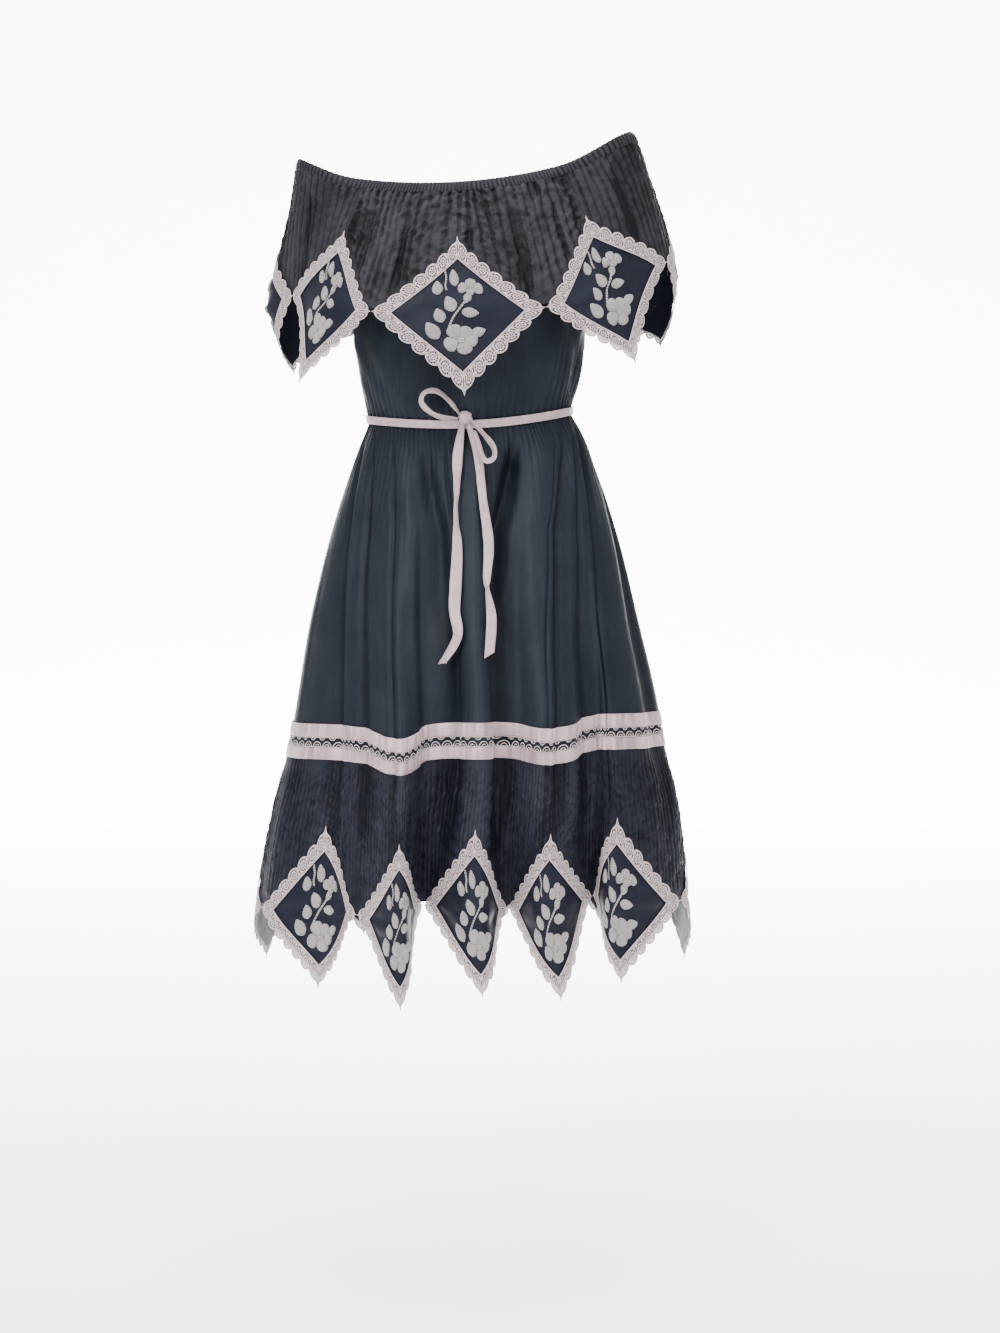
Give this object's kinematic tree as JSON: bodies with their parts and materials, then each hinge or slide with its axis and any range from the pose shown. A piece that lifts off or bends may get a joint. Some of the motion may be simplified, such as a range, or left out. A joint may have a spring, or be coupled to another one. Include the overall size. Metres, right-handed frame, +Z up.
{
  "type": "off-shoulder dress",
  "caption": "Knee-length off-shoulder dress with a gathered flounce, full skirt, ribbon waist, and lace-edged embroidered diamond points at flounce and hem.",
  "frame": {"origin": "middle of the off-shoulder neckline, level with its edge at the centre front, where the dress is held up", "axes": "+Z up from the hem to the neckline, +Y from the front of the dress to its back, +X towards the viewer's right seen from the front"},
  "size_m": [0.5465, 0.5111, 1.0441],
  "materials": {
    "navy_taffeta": "soft sheen",
    "crinkled_taffeta": "soft sheen",
    "pink_cream_lace": "matt",
    "pink_satin_ribbon": "satin"
  },
  "bodies": {
    "root": {"neck_casing": "crinkled_taffeta", "flounce_front": "crinkled_taffeta", "flounce_back": "crinkled_taffeta", "flounce_left": "crinkled_taffeta", "flounce_right": "crinkled_taffeta", "bodice_front": "navy_taffeta", "skirt_front": "navy_taffeta", "tier_front": "crinkled_taffeta", "bodice_back": "navy_taffeta", "skirt_back": "navy_taffeta", "tier_back": "crinkled_taffeta", "flounce_panel_1": "navy_taffeta", "flounce_lace_1": "pink_cream_lace", "flounce_panel_2": "navy_taffeta", "flounce_lace_2": "pink_cream_lace", "flounce_panel_3": "navy_taffeta", "flounce_lace_3": "pink_cream_lace", "flounce_panel_4": "navy_taffeta", "flounce_lace_4": "pink_cream_lace", "flounce_panel_5": "navy_taffeta", "flounce_lace_5": "pink_cream_lace", "flounce_panel_6": "navy_taffeta", "flounce_lace_6": "pink_cream_lace", "hem_panel_1": "navy_taffeta", "hem_lace_1": "pink_cream_lace", "hem_panel_2": "navy_taffeta", "hem_lace_2": "pink_cream_lace", "hem_panel_3": "navy_taffeta", "hem_lace_3": "pink_cream_lace", "hem_panel_4": "navy_taffeta", "hem_lace_4": "pink_cream_lace", "hem_panel_5": "navy_taffeta", "hem_lace_5": "pink_cream_lace", "hem_panel_6": "navy_taffeta", "hem_lace_6": "pink_cream_lace", "hem_panel_7": "navy_taffeta", "hem_lace_7": "pink_cream_lace", "hem_panel_8": "navy_taffeta", "hem_lace_8": "pink_cream_lace", "hem_panel_9": "navy_taffeta", "hem_lace_9": "pink_cream_lace", "hem_panel_10": "navy_taffeta", "hem_lace_10": "pink_cream_lace", "band_ribbon_upper": "pink_satin_ribbon", "band_insertion": "pink_cream_lace", "band_ribbon_lower": "pink_satin_ribbon", "waist_ribbon": "pink_satin_ribbon", "bow_knot": "pink_satin_ribbon", "bow_loop_left": "pink_satin_ribbon", "bow_loop_right": "pink_satin_ribbon", "bow_tail_left": "pink_satin_ribbon", "bow_tail_right": "pink_satin_ribbon"}
  },
  "joints": []
}
